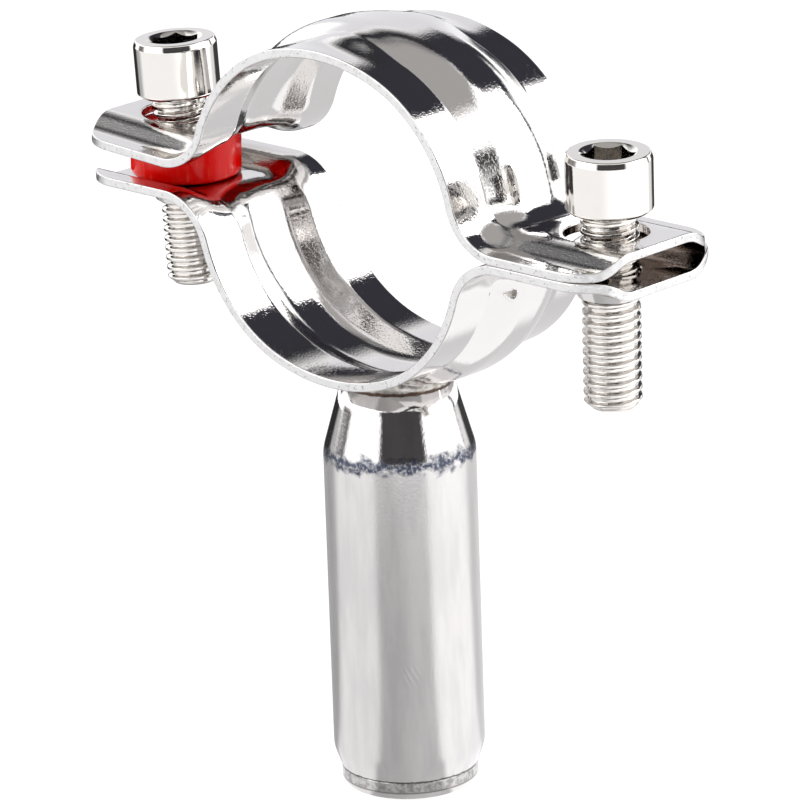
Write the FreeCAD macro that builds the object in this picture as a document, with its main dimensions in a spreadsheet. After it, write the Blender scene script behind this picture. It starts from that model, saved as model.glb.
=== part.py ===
import FreeCAD, Part
import math
import os
import Sketcher
from FreeCAD import Placement, Rotation, Vector

# Pipe clamp for a pipe 48.3 mm across: two stamped straps with ears, two socket head screws,
# a spacer sleeve and a tube stem welded under the lower strap.
# The origin is the centre of the stem's foot. Z runs up the stem, X along the ears, Y along the pipe.

os.makedirs("parts", exist_ok=True)
doc = FreeCAD.newDocument("pipe_clamp")

# Driving sizes in millimetres and degrees
SIZES = {
    # straps
    "strap_thickness": 1.3,
    "strap_width": 26.8,
    "side_radius": 21.2,
    "base_radius": 29.8,
    "base_half_angle": 18.0,
    "ring_depth": 21.6,
    "bend_radius": 8.6,
    "ear_reach": 49.2,
    "left_ear_trim": 0.6,
    "ear_corner_radius": 6.6,
    "ring_height": 83.9,
    "strap_shift": 0.6,
    "spring_angle": 3.05,
    # rib stamped along each strap
    "rib_depth": 1.9,
    "rib_margin": 1.7,
    "rib_slope": 28.0,
    "rib_shoulder_radius": 4.2,
    "rib_crown_radius": 4.6,
    # screws, 5/16-18 socket head
    "screw_diameter": 7.94,
    "head_diameter": 11.9,
    "head_height": 8.1,
    "head_bevel_height": 0.9,
    "head_bevel_width": 0.3,
    "neck_chamfer": 0.4,
    "socket_width": 6.4,
    "socket_depth": 4.2,
    "socket_countersink": 0.45,
    "tip_chamfer": 0.9,
    "screw_length": 27.5,
    "right_head_lift": 3.25,
    "left_head_lift": 2.85,
    "right_lean_across": 1.4,
    "right_lean_along": -1.4,
    "left_lean_across": -2.3,
    "left_lean_along": -1.3,
    "right_socket_turn": 42.0,
    "left_socket_turn": 13.0,
    # holes and collars
    "hole_inset": 9.2,
    "clearance_hole": 11.6,
    "collar_height": 2.2,
    "collar_root_diameter": 10.6,
    "collar_lip_diameter": 8.8,
    "thread_clearance": 0.1,
    # spacer sleeve
    "sleeve_diameter": 15.8,
    "sleeve_bore": 9.6,
    "sleeve_chamfer": 0.7,
    "sleeve_gap": 0.03,
    # stem
    "stem_diameter": 21.34,
    "stem_wall": 1.65,
    "neck_diameter": 15.8,
    "foot_diameter": 19.2,
    "weld_drop": 0.15,
    "upper_taper": 9.6,
    "lower_taper": 2.9,
    "rim_height": 2.6,
    "rim_step": 0.1,
    "rim_chamfer": 0.8,
    "shoulder_radius": 7.0,
    "heel_radius": 5.0,
    # weld
    "weld_width": 1.7,
    "weld_bulge": 0.15,
    "weld_rise": 0.25,
    # how far cutting shapes run past what they cut
    "cut_margin": 4.0,
}

sheet = doc.addObject("Spreadsheet::Sheet", "sizes")
entered = []


def enter(alias, content):
    """Adds a named value or formula to the sheet."""
    entered.append(alias)
    sheet.set("A%d" % len(entered), alias)
    sheet.set("B%d" % len(entered), str(content))
    sheet.setAlias("B%d" % len(entered), alias)
    doc.recompute()


for size_name, size_value in SIZES.items():
    enter(size_name, size_value)
enter("screw_spacing", "=2 * (ear_reach - hole_inset)")
enter("rib_half_width", "=strap_width / 2 - rib_margin")

# A quarter turn, and how nearly two lengths agree
QUARTER = math.pi / 2
NEAR = 0.001


def size(alias):
    """Value of a named size in the sheet."""
    return float(sheet.get(alias))


def origin_plane(body, role):
    """One of a body's own origin planes."""
    return next(item for item in body.Origin.OriginFeatures if item.Role == role)


def new_body(label):
    body = doc.addObject("PartDesign::Body", label)
    body.Label = label
    return body


def new_sketch(body, name, role, offset=0.0, formula=None):
    """Sketch on an origin plane, moved along the plane's normal where an offset is given."""
    sketch = body.newObject("Sketcher::SketchObject", name)
    sketch.AttachmentSupport = [(origin_plane(body, role), "")]
    sketch.MapMode = "FlatFace"
    sketch.AttachmentOffset = Placement(Vector(0, 0, offset), Rotation())
    if formula:
        sketch.setExpression("AttachmentOffset.Base.z", formula)
    return sketch


def bind(sketch, kind, *arguments):
    """Adds a dimension and drives it from the sheet; the last two arguments are its value and formula."""
    index = sketch.addConstraint(Sketcher.Constraint(kind, *arguments[:-1]))
    sketch.setExpression("Constraints[%d]" % index, arguments[-1])


def line(sketch, start, end):
    return sketch.addGeometry(Part.LineSegment(Vector(*start, 0), Vector(*end, 0)), False)


def polygon(sketch, points):
    """Closed outline of straight lines."""
    lines = [line(sketch, start, end) for start, end in zip(points, points[1:] + points[:1])]
    for first, second in zip(lines, lines[1:] + lines[:1]):
        sketch.addConstraint(Sketcher.Constraint("Coincident", first, 2, second, 1))
    return lines


def place(sketch, element, end, across, up):
    """Ties a point to the sheet; across and up are formulas, or None for a coordinate of zero."""
    point = sketch.getPoint(element, end)
    if across is None:
        sketch.addConstraint(Sketcher.Constraint("PointOnObject", element, end, -2))
    else:
        bind(sketch, "DistanceX", -1, 1, element, end, point.x, across)
    if up is None:
        sketch.addConstraint(Sketcher.Constraint("PointOnObject", element, end, -1))
    else:
        bind(sketch, "DistanceY", -1, 1, element, end, point.y, up)


def tangent_chain(sketch, pieces):
    """Lines and arcs joined smoothly. A line is (start, end); an arc is (centre, radius, first, last)
    and runs clockwise when last is below first. Gives (element, start end, finish end) for each."""
    chain = []
    for piece in pieces:
        if len(piece) == 2:
            chain.append((line(sketch, *piece), 1, 2))
            continue
        centre, radius, first, last = piece
        circle = Part.Circle(Vector(*centre, 0), Vector(0, 0, 1), radius)
        element = sketch.addGeometry(Part.ArcOfCircle(circle, min(first, last), max(first, last)), False)
        chain.append((element, 1, 2) if last > first else (element, 2, 1))
    for (first, _, finish), (second, start, _) in zip(chain, chain[1:]):
        sketch.addConstraint(Sketcher.Constraint("Tangent", first, finish, second, start))
    return chain


def round_point(centre, radius, direction):
    return (centre[0] + radius * math.cos(direction), centre[1] + radius * math.sin(direction))


def side_centre():
    """Centre of the arc at the side of a strap."""
    half = math.radians(size("base_half_angle"))
    offset = size("base_radius") - size("side_radius")
    return offset * math.sin(half), size("ring_depth") - size("base_radius") + offset * math.cos(half)


def bend_position():
    """Distance from the axis to the centre of an ear's bend."""
    side_x, side_z = side_centre()
    bend = size("bend_radius")
    return side_x + math.sqrt((size("side_radius") + bend) ** 2 - (bend - side_z) ** 2)


def rib_widths():
    """Width of the rib's ramp and half the width of its flat, the same on both faces of the sheet."""
    slope = math.radians(size("rib_slope"))
    rounds = size("rib_shoulder_radius") + size("rib_crown_radius") + size("strap_thickness")
    ramp = (size("rib_depth") - rounds * (1 - math.cos(slope))) / math.tan(slope)
    return ramp, size("rib_half_width") - rounds * math.sin(slope) - ramp


# The left ear ends a little nearer the axis than the right one
LEFT_END = "sizes.left_ear_trim - sizes.ear_reach"


# Inner face of a strap, seen along the pipe: ear, bend, side, base, side, bend, ear
def strap_path(sketch, sign, spring):
    """sign is +1 for the upper strap and -1 for the lower; spring lifts the far ear, in degrees."""
    half = math.radians(size("base_half_angle"))
    side, base, bend = size("side_radius"), size("base_radius"), size("bend_radius")
    depth, reach = size("ring_depth"), size("ear_reach")
    side_x, side_z = side_centre()
    bend_x = bend_position()
    rise = math.atan2(bend - side_z, bend_x - side_x)
    lift = math.radians(spring)
    left_end = size("left_ear_trim") - reach
    ear_start = (bend_x + bend * math.sin(lift), bend - bend * math.cos(lift))
    ear_end = (reach, ear_start[1] + (reach - ear_start[0]) * math.tan(lift))

    def spot(across, up):
        return (across, sign * up)

    chain = tangent_chain(sketch, [
        (spot(left_end, 0), spot(-bend_x, 0)),
        (spot(-bend_x, bend), bend, -sign * QUARTER, -sign * rise),
        (spot(-side_x, side_z), side, sign * (math.pi - rise), sign * (QUARTER + half)),
        (spot(0, depth - base), base, sign * (QUARTER + half), sign * (QUARTER - half)),
        (spot(side_x, side_z), side, sign * (QUARTER - half), sign * rise),
        (spot(bend_x, bend), bend, sign * (math.pi + rise), sign * (3 * QUARTER + lift)),
        (spot(*ear_start), spot(*ear_end)),
    ])
    near_ear, near_bend, near_side, crown, far_side, far_bend, far_ear = [link[0] for link in chain]
    for element in (near_bend, far_bend):
        bind(sketch, "Radius", element, bend, "sizes.bend_radius")
    for element in (near_side, far_side):
        bind(sketch, "Radius", element, side, "sizes.side_radius")
    bind(sketch, "Radius", crown, base, "sizes.base_radius")
    place(sketch, near_ear, 1, LEFT_END, None)
    sketch.addConstraint(Sketcher.Constraint("Horizontal", near_ear))
    place(sketch, crown, 3, None, "%d * (sizes.ring_depth - sizes.base_radius)" % sign)
    chord = "sizes.base_radius * sin(sizes.base_half_angle * 1 deg)"
    bind(sketch, "DistanceX", crown, chain[3][1], crown, 3, base * math.sin(half), chord)
    bind(sketch, "DistanceX", crown, 3, crown, chain[3][2], base * math.sin(half), chord)
    bind(sketch, "DistanceY", -1, 1, far_bend, 3, sign * bend, "%d * sizes.bend_radius" % sign)
    bind(sketch, "DistanceX", -1, 1, far_ear, 2, reach, "sizes.ear_reach")
    if spring:
        bind(sketch, "Angle", far_ear, sign * lift, "%d * sizes.spring_angle * 1 deg" % sign)
    else:
        sketch.addConstraint(Sketcher.Constraint("Horizontal", far_ear))


def rib_face(sketch, sign, outside):
    """One face of the stamped sheet across its width: margin, shoulder, ramp, crown, and back again."""
    sheet_t = size("strap_thickness")
    wide, border = size("strap_width") / 2, size("rib_half_width")
    slope = math.radians(size("rib_slope"))
    shoulder = size("rib_shoulder_radius") + (0 if outside else sheet_t)
    crown = size("rib_crown_radius") + (sheet_t if outside else 0)
    level = sheet_t if outside else 0.0
    top = level + size("rib_depth")
    flat = rib_widths()[1]

    def spot(across, up):
        return (across, sign * up)

    foot = spot(*round_point((-border, level + shoulder), shoulder, slope - QUARTER))
    head = spot(*round_point((-flat, top - crown), crown, QUARTER + slope))
    chain = tangent_chain(sketch, [
        (spot(-wide, level), spot(-border, level)),
        (spot(-border, level + shoulder), shoulder, -sign * QUARTER, sign * (slope - QUARTER)),
        (foot, head),
        (spot(-flat, top - crown), crown, sign * (QUARTER + slope), sign * QUARTER),
        (spot(-flat, top), spot(flat, top)),
        (spot(flat, top - crown), crown, sign * QUARTER, sign * (QUARTER - slope)),
        ((-head[0], head[1]), (-foot[0], foot[1])),
        (spot(border, level + shoulder), shoulder, -sign * (slope + QUARTER), -sign * QUARTER),
        (spot(border, level), spot(wide, level)),
    ])
    thick = " + sizes.strap_thickness"
    for link in (chain[1], chain[7]):
        bind(sketch, "Radius", link[0], shoulder, "sizes.rib_shoulder_radius" + ("" if outside else thick))
    for link in (chain[3], chain[5]):
        bind(sketch, "Radius", link[0], crown, "sizes.rib_crown_radius" + (thick if outside else ""))
    height = "%d * sizes.strap_thickness" % sign if outside else None
    place(sketch, chain[0][0], 1, "-sizes.strap_width / 2", height)
    place(sketch, chain[8][0], 2, "sizes.strap_width / 2", height)
    bind(sketch, "DistanceX", -1, 1, chain[0][0], 2, -border, "-sizes.rib_half_width")
    bind(sketch, "DistanceX", -1, 1, chain[8][0], 1, border, "sizes.rib_half_width")
    for link in (chain[0], chain[4], chain[8]):
        sketch.addConstraint(Sketcher.Constraint("Horizontal", link[0]))
    angle = "%d * sizes.rib_slope * 1 deg" % sign
    bind(sketch, "Angle", chain[2][0], sign * slope, angle)
    bind(sketch, "Angle", chain[6][0], -sign * slope, "-" + angle)
    rise = ("%d * (sizes.rib_depth" % sign) + (thick if outside else "") + ")"
    bind(sketch, "DistanceY", -1, 1, chain[4][0], 1, sign * top, rise)
    return chain


def join(sketch, first, first_end, second, second_end):
    """Straight line between two open ends."""
    start, end = sketch.getPoint(first, first_end), sketch.getPoint(second, second_end)
    element = line(sketch, (start.x, start.y), (end.x, end.y))
    sketch.addConstraint(Sketcher.Constraint("Coincident", element, 1, first, first_end))
    sketch.addConstraint(Sketcher.Constraint("Coincident", element, 2, second, second_end))


def swept(body, section, path):
    """The section carried along the path without twisting."""
    pipe = body.newObject("PartDesign::AdditivePipe", "sweep")
    pipe.Profile = section
    pipe.Spine = (path, ["Edge%d" % (step + 1) for step in range(path.GeometryCount)])
    pipe.Mode = "Binormal"
    pipe.Binormal = Vector(0, 1, 0)
    pipe.Transition = "Transformed"
    return pipe


def pocket_through(body, sketch, name):
    """Cut both ways through everything."""
    pocket = body.newObject("PartDesign::Pocket", name)
    pocket.Profile = sketch
    pocket.Type = "ThroughAll"
    pocket.Midplane = True
    return pocket


def stamped_strap(label, sign, spring):
    """Sheet strap with its rib, and the corners of both ears rounded off."""
    body = new_body(label)
    path = new_sketch(body, label + "_path", "XZ_Plane")
    strap_path(path, sign, spring)
    start = size("left_ear_trim") - size("ear_reach")
    section = new_sketch(body, label + "_section", "YZ_Plane", start, LEFT_END)
    inner = rib_face(section, sign, False)
    outer = rib_face(section, sign, True)
    join(section, inner[0][0], 1, outer[0][0], 1)
    join(section, inner[8][0], 2, outer[8][0], 2)
    doc.recompute()
    swept(body, section, path)
    doc.recompute()
    corners = new_sketch(body, label + "_corners", "XY_Plane")
    wide, radius, spare = size("strap_width") / 2, size("ear_corner_radius"), size("cut_margin")
    for across, along, quadrant in ((1, 1, 0), (-1, 1, 1), (-1, -1, 2), (1, -1, 3)):
        reach = size("ear_reach") - (size("left_ear_trim") if across < 0 else 0)
        reach_f = "(sizes.ear_reach%s)" % (" - sizes.left_ear_trim" if across < 0 else "")
        centre = (across * (reach - radius), along * (wide - radius))
        circle = Part.Circle(Vector(*centre, 0), Vector(0, 0, 1), radius)
        arc = Part.ArcOfCircle(circle, quadrant * QUARTER, (quadrant + 1) * QUARTER)
        curve = corners.addGeometry(arc, False)
        tip_end, side_end = (1, 2) if across * along > 0 else (2, 1)
        points = [(centre[0], along * wide), (centre[0], along * (wide + spare)),
                  (across * (reach + spare), along * (wide + spare)),
                  (across * (reach + spare), centre[1]), (across * reach, centre[1])]
        lines = [line(corners, start, end) for start, end in zip(points, points[1:])]
        for one, two in zip(lines, lines[1:]):
            corners.addConstraint(Sketcher.Constraint("Coincident", one, 2, two, 1))
        corners.addConstraint(Sketcher.Constraint("Coincident", curve, side_end, lines[0], 1))
        corners.addConstraint(Sketcher.Constraint("Coincident", curve, tip_end, lines[3], 2))
        corners.addConstraint(Sketcher.Constraint("Vertical", curve, 3, lines[0], 1))
        corners.addConstraint(Sketcher.Constraint("Horizontal", curve, 3, lines[3], 2))
        for number, kind in enumerate(("Vertical", "Horizontal", "Vertical", "Horizontal")):
            corners.addConstraint(Sketcher.Constraint(kind, lines[number]))
        bind(corners, "Radius", curve, radius, "sizes.ear_corner_radius")
        place(corners, curve, 3, "%d * (%s - sizes.ear_corner_radius)" % (across, reach_f),
              "%d * (sizes.strap_width / 2 - sizes.ear_corner_radius)" % along)
        place(corners, lines[1], 2, "%d * (%s + sizes.cut_margin)" % (across, reach_f),
              "%d * (sizes.strap_width / 2 + sizes.cut_margin)" % along)
    doc.recompute()
    pocket_through(body, corners, "rounded_corners")
    doc.recompute()
    return body


def holes(body, name, diameter, formula):
    """A round hole through each ear."""
    sketch = new_sketch(body, name + "_sketch", "XY_Plane")
    for across in (-1, 1):
        centre = Vector(across * size("screw_spacing") / 2, 0, 0)
        circle = sketch.addGeometry(Part.Circle(centre, Vector(0, 0, 1), diameter / 2), False)
        bind(sketch, "Radius", circle, diameter / 2, formula)
        place(sketch, circle, 3, "%d * sizes.screw_spacing / 2" % across, None)
    doc.recompute()
    pocket_through(body, sketch, name)
    doc.recompute()


def turned(body, name, outline, formulas):
    """Solid of revolution about the upright axis; formulas give each corner's across and up."""
    sketch = new_sketch(body, name + "_sketch", "XZ_Plane")
    lines = polygon(sketch, outline)
    for element, (across, up) in zip(lines, formulas):
        place(sketch, element, 1, across, up)
    doc.recompute()
    revolution = body.newObject("PartDesign::Revolution", name)
    revolution.Profile = sketch
    revolution.ReferenceAxis = (sketch, ["V_Axis"])
    revolution.Angle = 360
    doc.recompute()
    return revolution


# Upper strap: leans on the sleeve at the left, with its right ear flat on the lower strap
upper_strap = stamped_strap("upper_strap", 1, size("spring_angle"))
holes(upper_strap, "clearance_holes", size("clearance_hole"), "sizes.clearance_hole / 2")
lift = math.radians(size("spring_angle"))
bend = size("bend_radius")
pivot = Vector(bend_position() + bend * math.sin(lift), 0, bend - bend * math.cos(lift))
swing = Rotation(Vector(0, 1, 0), size("spring_angle"))
seat = Vector(pivot.x - size("strap_shift"), 0, size("ring_height"))
upper_strap.Placement = Placement(seat - swing.multVec(pivot), swing)

# Lower strap: the same stamping turned over, with a tapped collar drawn down from each ear
lower_strap = stamped_strap("lower_strap", -1, 0.0)
half_spacing = size("screw_spacing") / 2
ear_bottom = -size("rib_depth") - size("strap_thickness")
collar_top = -size("rib_depth") - size("strap_thickness") / 2
collar_bottom = ear_bottom - size("collar_height")
root, lip = size("collar_root_diameter") / 2, size("collar_lip_diameter") / 2
for side, tag in ((-1, "left"), (1, "right")):
    collar = new_sketch(lower_strap, tag + "_collar_sketch", "XZ_Plane")
    middle = side * half_spacing
    lines = polygon(collar, [(middle, collar_top), (middle + root, collar_top), (middle + root, ear_bottom),
                             (middle + lip, collar_bottom), (middle, collar_bottom)])
    centre_formula = "%d * sizes.screw_spacing / 2" % side
    low_formula = "-(sizes.rib_depth + sizes.strap_thickness"
    for number, (across, up) in enumerate((
            ("", " / 2)"),
            (" + sizes.collar_root_diameter / 2", " / 2)"),
            (" + sizes.collar_root_diameter / 2", ")"),
            (" + sizes.collar_lip_diameter / 2", " + sizes.collar_height)"),
            ("", " + sizes.collar_height)"))):
        place(collar, lines[number], 1, centre_formula + across, low_formula + up)
    spindle = collar.addGeometry(Part.LineSegment(Vector(middle, 0, 0), Vector(middle, 1, 0)), True)
    collar.addConstraint(Sketcher.Constraint("Coincident", spindle, 1, lines[0], 1))
    collar.addConstraint(Sketcher.Constraint("Vertical", spindle))
    doc.recompute()
    cone = lower_strap.newObject("PartDesign::Revolution", tag + "_collar")
    cone.Profile = collar
    cone.ReferenceAxis = (collar, ["Axis0"])
    cone.Angle = 360
    doc.recompute()
holes(lower_strap, "tapped_holes", size("screw_diameter") + 2 * size("thread_clearance"),
      "sizes.screw_diameter / 2 + sizes.thread_clearance")
lower_strap.Placement = Placement(Vector(0, 0, size("ring_height")), Rotation())


def socket_screw(label):
    """Socket head cap screw with its origin under the head; the thread is a plain cylinder here."""
    body = new_body(label)
    shank, head, high = size("screw_diameter") / 2, size("head_diameter") / 2, size("head_height")
    long, tip, neck = size("screw_length"), size("tip_chamfer"), size("neck_chamfer")
    bevel_wide, bevel_high = size("head_bevel_width"), size("head_bevel_height")
    shank_f, head_f = "sizes.screw_diameter / 2", "sizes.head_diameter / 2"
    turned(body, label + "_turned", [
        (0, high), (head - bevel_wide, high), (head, high - bevel_high), (head, neck), (head - neck, 0),
        (shank, 0), (shank, tip - long), (shank - tip, -long), (0, -long)], [
        (None, "sizes.head_height"), (head_f + " - sizes.head_bevel_width", "sizes.head_height"),
        (head_f, "sizes.head_height - sizes.head_bevel_height"), (head_f, "sizes.neck_chamfer"),
        (head_f + " - sizes.neck_chamfer", None), (shank_f, None),
        (shank_f, "sizes.tip_chamfer - sizes.screw_length"),
        (shank_f + " - sizes.tip_chamfer", "-sizes.screw_length"), (None, "-sizes.screw_length")])
    hexagon = new_sketch(body, label + "_hexagon", "XY_Plane", high, "sizes.head_height")
    corner = size("socket_width") / math.sqrt(3)
    points = [round_point((0, 0), corner, step * math.pi / 3) for step in range(6)]
    lines = polygon(hexagon, points)
    guide = hexagon.addGeometry(Part.Circle(Vector(), Vector(0, 0, 1), corner), True)
    bind(hexagon, "Radius", guide, corner, "sizes.socket_width / sqrt(3)")
    hexagon.addConstraint(Sketcher.Constraint("Coincident", guide, 3, -1, 1))
    for element in lines:
        hexagon.addConstraint(Sketcher.Constraint("PointOnObject", element, 1, guide))
    for element in lines[1:]:
        hexagon.addConstraint(Sketcher.Constraint("Equal", lines[0], element))
    hexagon.addConstraint(Sketcher.Constraint("PointOnObject", lines[0], 1, -1))
    doc.recompute()
    socket = body.newObject("PartDesign::Pocket", label + "_socket")
    socket.Profile = hexagon
    socket.Type = "Length"
    socket.setExpression("Length", "sizes.socket_depth")
    doc.recompute()
    mouth = new_sketch(body, label + "_mouth_sketch", "XZ_Plane")
    wide, deep = corner + size("socket_countersink") / 2, size("socket_countersink")
    lines = polygon(mouth, [(0, high), (wide, high), (wide - deep, high - deep), (0, high - deep)])
    wide_f = "sizes.socket_width / sqrt(3) + sizes.socket_countersink / 2"
    place(mouth, lines[0], 1, None, "sizes.head_height")
    place(mouth, lines[1], 1, wide_f, "sizes.head_height")
    deep_f = "sizes.head_height - sizes.socket_countersink"
    place(mouth, lines[2], 1, wide_f + " - sizes.socket_countersink", deep_f)
    place(mouth, lines[3], 1, None, deep_f)
    doc.recompute()
    groove = body.newObject("PartDesign::Groove", label + "_mouth")
    groove.Profile = mouth
    groove.ReferenceAxis = (mouth, ["V_Axis"])
    groove.Angle = 360
    doc.recompute()
    return body


def seat_screw(body, across, side, head_base):
    """Leans the screw about the middle of its collar, lifts the head to its height and turns the socket."""
    hub = Vector(across, 0, size("ring_height") + (collar_bottom - size("rib_depth")) / 2)
    lean_x, lean_y = math.radians(size(side + "_lean_across")), math.radians(size(side + "_lean_along"))
    axis = Vector(math.sin(lean_x), math.sin(lean_y), 1).normalize()
    tilt = Rotation(Vector(0, 0, 1), axis)
    turn = Rotation(Vector(0, 0, 1), size(side + "_socket_turn"))
    body.Placement = Placement(hub + axis * ((head_base - hub.z) / axis.z), tilt.multiply(turn))


ear_top = size("rib_depth") + size("strap_thickness")
screw_right = socket_screw("screw_right")
seat_screw(screw_right, half_spacing, "right", size("ring_height") + ear_top + size("right_head_lift"))
screw_left = socket_screw("screw_left")
left_foot = upper_strap.Placement.multVec(Vector(-half_spacing, 0, 0))
left_gap = left_foot.z - size("ring_height") + (left_foot.x + half_spacing) * math.tan(lift)
seat_screw(screw_left, -half_spacing, "left",
           size("ring_height") + left_gap + ear_top + size("left_head_lift"))

# Spacer sleeve: it stands halfway between the two ears' slopes, with its ends sunk in both ribs
tilt = math.radians(size("spring_angle") / 2)
crown = size("rib_crown_radius")
face = size("sleeve_diameter") / 2 - size("sleeve_chamfer")
sunk_on_rounds = size("rib_depth") - crown + math.sqrt(crown ** 2 - max(0.0, face - rib_widths()[1]) ** 2)
sunk_on_flat = size("rib_depth") - face * math.sin(tilt)
sunk = min(sunk_on_rounds, sunk_on_flat) - size("sleeve_gap")
sleeve_height = left_gap * math.cos(tilt) + 2 * sunk
enter("sleeve_height", sleeve_height)
spacer_sleeve = new_body("spacer_sleeve")
outer, bore, edge = size("sleeve_diameter") / 2, size("sleeve_bore") / 2, size("sleeve_chamfer")
outer_f, bore_f, edge_f = "sizes.sleeve_diameter / 2", "sizes.sleeve_bore / 2", "sizes.sleeve_chamfer"
turned(spacer_sleeve, "sleeve", [
    (bore, 0), (outer - edge, 0), (outer, edge), (outer, sleeve_height - edge),
    (outer - edge, sleeve_height), (bore, sleeve_height)], [
    (bore_f, None), (outer_f + " - " + edge_f, None), (outer_f, edge_f),
    (outer_f, "sizes.sleeve_height - " + edge_f), (outer_f + " - " + edge_f, "sizes.sleeve_height"),
    (bore_f, "sizes.sleeve_height")])
sleeve_middle = Vector(-half_spacing, 0, size("ring_height") + left_gap / 2)
half_turned = Rotation(Vector(0, 1, 0), size("spring_angle") / 2)
sleeve_drop = half_turned.multVec(Vector(0, 0, sleeve_height / 2))
spacer_sleeve.Placement = Placement(sleeve_middle - sleeve_drop, half_turned)

# Stem: a tube swaged in at both ends, with a narrow rim turned on its foot
stem_tube = new_body("stem_tube")
tube, wall = size("stem_diameter") / 2, size("stem_wall")
neck, foot = size("neck_diameter") / 2, size("foot_diameter") / 2
stem_top = size("ring_height") - size("ring_depth") - ear_top - size("weld_drop")
rim, step, edge = size("rim_height"), size("rim_step"), size("rim_chamfer")
upper, lower = size("upper_taper"), size("lower_taper")
top_f = "(sizes.ring_height - sizes.ring_depth - sizes.rib_depth - sizes.strap_thickness - sizes.weld_drop)"
foot_f, neck_f, tube_f = "sizes.foot_diameter / 2", "sizes.neck_diameter / 2", "sizes.stem_diameter / 2"
wall_f = " - sizes.stem_wall"
heel_f = "sizes.rim_height + sizes.lower_taper"
step_f = foot_f + " + sizes.rim_step"
stem = turned(stem_tube, "stem", [
    (foot - edge, 0), (foot, edge), (foot, rim), (foot + step, rim), (tube, rim + lower),
    (tube, stem_top - upper), (neck, stem_top), (neck - wall, stem_top), (tube - wall, stem_top - upper),
    (tube - wall, rim + lower), (foot + step - wall, rim), (foot + step - wall, 0)], [
    (foot_f + " - sizes.rim_chamfer", None), (foot_f, "sizes.rim_chamfer"), (foot_f, "sizes.rim_height"),
    (step_f, "sizes.rim_height"), (tube_f, heel_f), (tube_f, top_f + " - sizes.upper_taper"),
    (neck_f, top_f), (neck_f + wall_f, top_f), (tube_f + wall_f, top_f + " - sizes.upper_taper"),
    (tube_f + wall_f, heel_f), (step_f + wall_f, "sizes.rim_height"), (step_f + wall_f, None)])


def ring_edges(feature, radius, height):
    """Names of the round edges of this radius at this height."""
    names = []
    for number, item in enumerate(feature.Shape.Edges, start=1):
        curve = item.Curve
        if isinstance(curve, Part.Circle):
            if abs(curve.Radius - radius) < NEAR and abs(curve.Center.z - height) < NEAR:
                names.append("Edge%d" % number)
    return names


def blend(body, base, name, corners, formula):
    """Rounds the corners given as radius and height."""
    fillet = body.newObject("PartDesign::Fillet", name)
    fillet.Base = (base, [edge_name for corner in corners for edge_name in ring_edges(base, *corner)])
    fillet.setExpression("Radius", formula)
    doc.recompute()
    return fillet


shoulders = blend(stem_tube, stem, "shoulder", [(tube, stem_top - upper), (tube - wall, stem_top - upper)],
                  "sizes.shoulder_radius")
blend(stem_tube, shoulders, "heel", [(tube, rim + lower), (tube - wall, rim + lower)], "sizes.heel_radius")

# Weld: a ring of filler on the stem's end, shaped above by the underside of the lower strap
bead = new_body("bead_blank")
weld, bulge = size("weld_width"), size("weld_bulge")
swell = size("weld_rise")
bead_top = stem_top + size("weld_drop") + size("cut_margin")
bead_top_f = top_f + " + sizes.weld_drop + sizes.cut_margin"
turned(bead, "bead", [
    (neck - weld, stem_top), (neck, stem_top), (neck + bulge, stem_top + swell),
    (neck + bulge, stem_top + 2 * swell), (neck, bead_top), (neck - weld, bead_top)], [
    (neck_f + " - sizes.weld_width", top_f), (neck_f, top_f),
    (neck_f + " + sizes.weld_bulge", top_f + " + sizes.weld_rise"),
    (neck_f + " + sizes.weld_bulge", top_f + " + 2 * sizes.weld_rise"),
    (neck_f, bead_top_f), (neck_f + " - sizes.weld_width", bead_top_f)])

# Everything above the lower strap's outer face, used to shape the weld
saddle = new_body("saddle_block")
saddle_path = new_sketch(saddle, "saddle_path", "XZ_Plane")
strap_path(saddle_path, -1, 0.0)
saddle_start = size("left_ear_trim") - size("ear_reach")
saddle_section = new_sketch(saddle, "saddle_section", "YZ_Plane", saddle_start, LEFT_END)
outline = rib_face(saddle_section, -1, True)
wide, above = size("strap_width") / 2, size("cut_margin")
lid = line(saddle_section, (-wide, above), (wide, above))
place(saddle_section, lid, 1, "-sizes.strap_width / 2", "sizes.cut_margin")
place(saddle_section, lid, 2, "sizes.strap_width / 2", "sizes.cut_margin")
join(saddle_section, outline[0][0], 1, lid, 1)
join(saddle_section, outline[8][0], 2, lid, 2)
doc.recompute()
swept(saddle, saddle_section, saddle_path)
saddle.Placement = Placement(Vector(0, 0, size("ring_height")), Rotation())
doc.recompute()
weld_bead = doc.addObject("Part::Cut", "weld_bead")
weld_bead.Base = bead
weld_bead.Tool = saddle
weld_bead.Label = "weld_bead"
doc.recompute()

PIECES = (upper_strap, lower_strap, stem_tube, weld_bead, screw_left, screw_right, spacer_sleeve)

for item in doc.Objects:
    if "Invalid" in item.State or "Error" in item.State:
        raise RuntimeError("%s was not built: %s" % (item.Name, item.State))
for piece in PIECES:
    shape = piece.Shape
    if shape.isNull() or not shape.isValid() or len(shape.Solids) != 1:
        raise RuntimeError("%s has no sound solid" % piece.Label)
    box = shape.BoundBox
    print("%-14s volume %9.1f  x %7.2f %7.2f  y %7.2f %7.2f  z %7.2f %7.2f" % (
        piece.Label, shape.Volume, box.XMin, box.XMax, box.YMin, box.YMax, box.ZMin, box.ZMax))
    shape.exportStep("parts/%s.step" % piece.Label)
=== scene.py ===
import math

import bpy
import numpy as np
from mathutils import Matrix, Vector


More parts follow.
